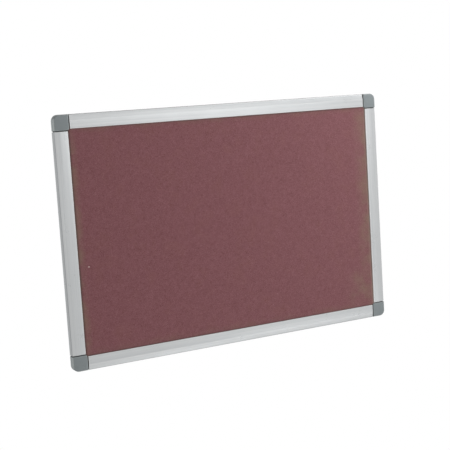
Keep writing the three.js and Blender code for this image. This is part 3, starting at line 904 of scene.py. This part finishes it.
def steel_zinc_plated(tree, place):
    """Zinc-plated steel, blue passivated: a cool bright metal, clouded where it was handled."""
    clouds = add_node(tree, "ShaderNodeTexNoise", inputs={
        "Vector": place, "Scale": 1 / zinc_cloud, "Detail": 4, "Roughness": 0.6})
    colour = add_node(tree, "ShaderNodeMix", of_colours, {
        "Factor": clouds, "A": linear("#A9AFB6"), "B": linear("#C9CBC7")})
    polish = add_node(tree, "ShaderNodeMapRange", inputs={
        "Value": clouds, "From Min": 0.3, "From Max": 0.7, "To Min": 0.22, "To Max": 0.42})
    relief = add_node(tree, "ShaderNodeBump", inputs={
        "Strength": 0.2, "Distance": zinc_relief, "Height": clouds})
    return add_node(tree, "ShaderNodeBsdfPrincipled", inputs={
        "Base Color": colour, "Metallic": 1, "Roughness": polish, "Normal": relief})


screw = screw_shape()
screw.data.materials.append(new_material(steel_zinc_plated))
finish_edges(screw, screw_edge_break)
screw_along = rail_setback + screw_inset
screw_places = ((screw_along, -chamber_centre), (chamber_centre, -screw_along))
for quarter, corner in enumerate(corner_names):
    for number, (x, y) in enumerate(screw_places, start=1):
        driven = math.radians(screw_turns[2 * quarter + number - 1])
        seat = Matrix.Translation((x, y, 0)) @ Matrix.Rotation(driven, 4, "Z")
        place = corner_place(quarter) @ seat
        piece = placed_copy(screw, f"screw_{corner}_{number}_pan_head", place)
        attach(piece, "board")
        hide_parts(f"bracket_screw_{corner}_{number}")
bpy.data.objects.remove(screw)


# The corner caps: injection-moulded ABS shells with a rounded shoulder. Two skirts reach back
# to the wall, the other two stop above the felt, and two crossed pegs push into the bracket.

cap_size = 37.2 * mm
cap_front = 18 * mm
cap_plate = 1.8 * mm
cap_crown = 0.5 * mm
cap_edge_radius = 2.6 * mm
cap_inner_radius = 5 * mm
cap_side_radius = 1.2 * mm
cap_skirt_rear = 0.4 * mm
cap_edge_break = 0.15 * mm
cap_highlight_full = 0.3 * cap_edge_radius
cap_highlight_rear = 2 * cap_edge_radius
cap_highlight_front = 1.2 * cap_edge_radius
cap_seam_shade_width = 1.2 * mm
cap_seam_shade_full = 0.3 * cap_seam_shade_width
shoulder_steps = 9
crown_steps = 7
peg_web = 1.3 * mm
peg_taper = 1.5 * mm
peg_tip = 5 * mm
peg_embedding = 0.6 * mm
spark_grain = 0.7 * mm
spark_relief = 0.03 * mm
resin_flow = 14 * mm
handling_mark = 5 * mm


def cap_outline(inset):
    """The cap's outline, drawn in by an inset all round."""
    return corner_outline(
        inset, cap_size - inset, cap_outer_radius - inset, cap_side_radius - inset,
        cap_inner_radius - inset)


def cap_peg(across, down):
    """Two crossed webs inside a round envelope with a tapered tip."""
    front = cap_front - cap_plate + peg_embedding
    half_web = peg_web / 2
    level = rectangle(-peg_radius, peg_radius, -half_web, half_web)
    upright = rectangle(-half_web, half_web, -peg_radius, peg_radius)
    peg = new_piece("cap_peg", prism(level, peg_tip - cut_overrun, front))
    carve(peg, "UNION", prism(upright, peg_tip - cut_overrun, front))
    carve(peg, "INTERSECT", skin([
        (circle(0, 0, peg_radius - peg_taper), peg_tip),
        (circle(0, 0, peg_radius), peg_tip + peg_taper),
        (circle(0, 0, peg_radius), front + cut_overrun)]))
    in_socket = moved_shape(peg, Matrix.Translation((across, -down, 0)))
    bpy.data.objects.remove(peg)
    return in_socket


def cap_shape():
    """The shell, hollow from behind, with its shoulder, its slightly crowned face and pegs."""
    shoulder_front = cap_front - cap_crown
    shoulder_rear = shoulder_front - cap_edge_radius
    rings = [(cap_outline(0), cap_skirt_rear), (cap_outline(0), shoulder_rear)]
    for step in range(1, shoulder_steps + 1):
        angle = quarter_turn * step / shoulder_steps
        rings.append((
            cap_outline(cap_edge_radius * (1 - math.cos(angle))),
            shoulder_rear + cap_edge_radius * math.sin(angle),
        ))
    for step in range(1, crown_steps + 1):
        share = step / (crown_steps + 1)
        rings.append((
            cap_outline(cap_edge_radius + share * (cap_size / 2 - cap_edge_radius)),
            shoulder_front + cap_crown * (1 - (1 - share) ** 2),
        ))
    cap = new_piece("corner_cap", skin(rings))

    lip_bead_rear = rail_depth - lip_bead_depth
    underside = cap_front - cap_plate
    opening = corner_outline(
        cap_wall, cap_size + cut_overrun, cap_outer_radius - cap_wall, sharpest_corner, sharpest_corner)
    carve(cap, "DIFFERENCE", prism(opening, cap_skirt_rear - cut_overrun, lip_bead_rear),
          prism(cap_outline(cap_wall), lip_bead_rear - cut_overrun, underside))
    for across, down in peg_places:
        carve(cap, "UNION", cap_peg(across, down))
    return cap


def abs_moulded_satin(tree, place):
    """ABS from a spark-eroded mould: cool mid grey and satin, with a fine even grain, a trace
    of resin flow, a patchy painted highlight on the shoulders, painted shade along the sides
    that meet the rails, and dust with painted shade on top. The grain is drawn coarse."""
    pattern = own_pattern(tree, place)
    grain = add_node(tree, "ShaderNodeTexNoise", inputs={
        "Vector": pattern, "Scale": 1 / spark_grain, "Detail": 2, "Roughness": 0.6})
    flow = add_node(tree, "ShaderNodeTexNoise", inputs={
        "Vector": pattern, "Scale": 1 / resin_flow, "Detail": 3, "Distortion": 1.5})
    marks = add_node(tree, "ShaderNodeTexNoise", inputs={
        "Vector": pattern, "Scale": 1 / handling_mark, "Detail": 5, "Roughness": 0.7})
    ground = add_node(tree, "ShaderNodeMix", of_colours, {
        "Factor": flow, "A": linear("#6F7679"), "B": linear("#777E7F")})
    speck = add_node(tree, "ShaderNodeMapRange", inputs={
        "Value": grain, "From Min": 0.5, "From Max": 0.75, "To Max": 0.3})
    grained = add_node(tree, "ShaderNodeMix", of_colours, {
        "Factor": speck, "A": ground, "B": linear("#8B9294")})

    axes = add_node(tree, "ShaderNodeSeparateXYZ", inputs={"Vector": place})
    reaches = []
    for axis, middle in (("X", -cap_size / 2), ("Y", cap_size / 2)):
        off_centre = add_node(tree, "ShaderNodeMath", {"operation": "ADD"}, {
            0: axes.outputs[axis], 1: middle})
        reaches.append(add_node(tree, "ShaderNodeMath", {"operation": "ABSOLUTE"}, {0: off_centre}))
    reach = add_node(tree, "ShaderNodeMath", maximum, {0: reaches[0], 1: reaches[1]})
    # The paler shoulders are a patchy painted highlight.
    shoulder = add_node(tree, "ShaderNodeMapRange", inputs={
        "Value": reach, "From Min": cap_size / 2 - cap_edge_radius,
        "From Max": cap_size / 2 - cap_highlight_full})
    raised = add_node(tree, "ShaderNodeMapRange", inputs={
        "Value": axes.outputs["Z"], "From Min": cap_front - cap_highlight_rear,
        "From Max": cap_front - cap_highlight_front, "To Min": 0.25})
    shoulder_highlight = add_node(tree, "ShaderNodeMath", multiply, {0: shoulder, 1: raised})
    painted_highlight = add_node(tree, "ShaderNodeMath", multiply, {0: shoulder_highlight, 1: marks})
    worn = add_node(tree, "ShaderNodeMix", of_colours, {
        "Factor": painted_highlight, "A": grained, "B": linear("#AEB4B2")})
    # Painted shade on the sides that meet the rails, at the seams.
    down = add_node(tree, "ShaderNodeMath", multiply, {0: axes.outputs["Y"], 1: -1})
    to_rail = add_node(tree, "ShaderNodeMath", maximum, {0: axes.outputs["X"], 1: down})
    seam_shade = add_node(tree, "ShaderNodeMapRange", inputs={
        "Value": to_rail, "From Min": cap_size - cap_seam_shade_width,
        "From Max": cap_size - cap_seam_shade_full, "To Max": 0.8})
    # What faces up is darkened by dust and painted shade.
    dust = facing_up(tree, 0.6)
    dusted_and_shaded = add_node(tree, "ShaderNodeMix", of_colours, {
        "Factor": dust, "A": worn, "B": linear("#5C605F")})
    colour = add_node(tree, "ShaderNodeMix", of_colours, {
        "Factor": seam_shade, "A": dusted_and_shaded, "B": linear("#2F3435")})
    polish = add_node(tree, "ShaderNodeMapRange", inputs={
        "Value": marks, "From Min": 0.35, "From Max": 0.65, "To Min": 0.4, "To Max": 0.53})
    dull_dust = add_node(tree, "ShaderNodeMath", multiply_add, {0: dust, 1: 0.7, 2: polish})
    relief = add_node(tree, "ShaderNodeBump", inputs={
        "Strength": 0.5, "Distance": spark_relief, "Height": grain})
    return add_node(tree, "ShaderNodeBsdfPrincipled", inputs={
        "Base Color": colour, "Roughness": dull_dust, "IOR": 1.54, "Normal": relief})


cap = cap_shape()
cap.data.materials.append(new_material(abs_moulded_satin))
finish_edges(cap, cap_edge_break)
for quarter, corner in enumerate(corner_names):
    piece = placed_copy(cap, f"cap_{corner}_moulding", corner_place(quarter))
    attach(piece, f"{corner}_cap")
    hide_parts(f"corner_cap_{corner}")
bpy.data.objects.remove(cap)


# The studio: a pale floor well below the board, as for a board hung on a wall, and soft lamps.
# The key lamp stands high on the right, so the board grows lighter towards its top right. The
# side lamp stands just behind the face's plane and lights the left side alone.

floor_level = -1.5
floor_radius = 2.6
floor_fade = (0.9, 1.9)
light_level = 0.55


def shown_to_eye(tree):
    """A factor that is 1 for the rays that show the background, straight or in a reflection."""
    path = add_node(tree, "ShaderNodeLightPath").outputs
    seen = add_node(tree, "ShaderNodeMath", {"operation": "ADD"}, {
        0: path["Is Camera Ray"], 1: path["Is Glossy Ray"]})
    return add_node(tree, "ShaderNodeMath", {"operation": "ADD", "use_clamp": True}, {
        0: seen, 1: path["Is Transmission Ray"]})


def studio_floor_paper(tree, place):
    """Pale paper that keeps the object's shadow and fades into the white further out."""
    reach = add_node(tree, "ShaderNodeVectorMath", {"operation": "LENGTH"}, {0: place})
    fade = add_node(tree, "ShaderNodeMapRange", {"interpolation_type": "SMOOTHSTEP"}, {
        "Value": reach, "From Min": floor_fade[0], "From Max": floor_fade[1]})
    share = add_node(tree, "ShaderNodeMath", multiply, {0: fade, 1: shown_to_eye(tree)})
    paper = add_node(tree, "ShaderNodeBsdfDiffuse", inputs={"Color": linear("#F4F4F2")})
    white = add_node(tree, "ShaderNodeEmission", inputs={"Strength": 1})
    return add_node(tree, "ShaderNodeMixShader", inputs={0: share, 1: paper, 2: white})


made = bmesh.new()
made.faces.new([made.verts.new((x, y, 0)) for x, y in circle(0, 0, floor_radius, sides=96)])
floor = new_piece("studio_floor", made)
floor.location.z = floor_level
floor.data.materials.append(new_material(studio_floor_paper))

world = bpy.data.worlds.new("studio_white")
bpy.context.scene.world = world
world.use_nodes = True
tree = world.node_tree
tree.nodes.clear()
soft_light = add_node(tree, "ShaderNodeBackground", inputs={
    "Color": linear("#FFFFFF"), "Strength": light_level})
background = add_node(tree, "ShaderNodeBackground", inputs={
    "Color": linear("#FFFFFF"), "Strength": 1})
both = add_node(tree, "ShaderNodeMixShader", inputs={
    0: shown_to_eye(tree), 1: soft_light, 2: background})
add_node(tree, "ShaderNodeOutputWorld", inputs={"Surface": both})

# Each lamp is a disk that faces the board: its place, its width and its power in watts.
lamps = (
    ("key_lamp", (1.3, -0.5, 1.2), 0.8, 30),
    ("front_lamp", (1.25, -2.3, 0.27), 0.9, 3.5),
    ("front_left_lamp", (0.55, -2.35, 0.3), 0.4, 0.5),
    ("upper_lamp", (1.0, -2.2, 1.0), 0.6, 1.0),
    ("left_lamp", (-0.33, -2.38, 0.0), 0.5, 0.3),
    ("low_right_lamp", (1.2, -1.6, -1.0), 0.7, 1.8),
    ("low_left_lamp", (0.5, -1.2, -1.3), 0.6, 1.1),
    ("side_lamp", (-1.8, 0.2, 0.7), 0.6, 7.5),
    ("rear_lamp", (0.6, 2.4, 1.1), 1.6, 28),
)
for name, place, size, power in lamps:
    light = bpy.data.lights.new(name, "AREA")
    light.shape = "DISK"
    light.size = size
    light.energy = power
    lamp = bpy.data.objects.new(name, light)
    bpy.context.scene.collection.objects.link(lamp)
    facing = (-Vector(place)).to_track_quat("-Z", "Y").to_matrix().to_4x4()
    lamp.matrix_world = Matrix.Translation(place) @ facing
    lamp.visible_camera = False

camera_place = Vector((-1.2938, -2.375, 0.3190))
camera_aim = Vector((-0.0252, -0.017, 0.0005))
camera_roll = -3.67
camera = bpy.data.objects.new("studio_camera", bpy.data.cameras.new("studio_camera"))
bpy.context.scene.collection.objects.link(camera)
upright_view = (camera_aim - camera_place).to_track_quat("-Z", "Y").to_matrix().to_4x4()
rolled = Matrix.Rotation(math.radians(camera_roll), 4, "Z")
camera.matrix_world = Matrix.Translation(camera_place) @ upright_view @ rolled
camera.data.sensor_width = 36
camera.data.lens = 86.8
bpy.context.scene.camera = camera
bpy.context.scene.view_settings.view_transform = "Standard"
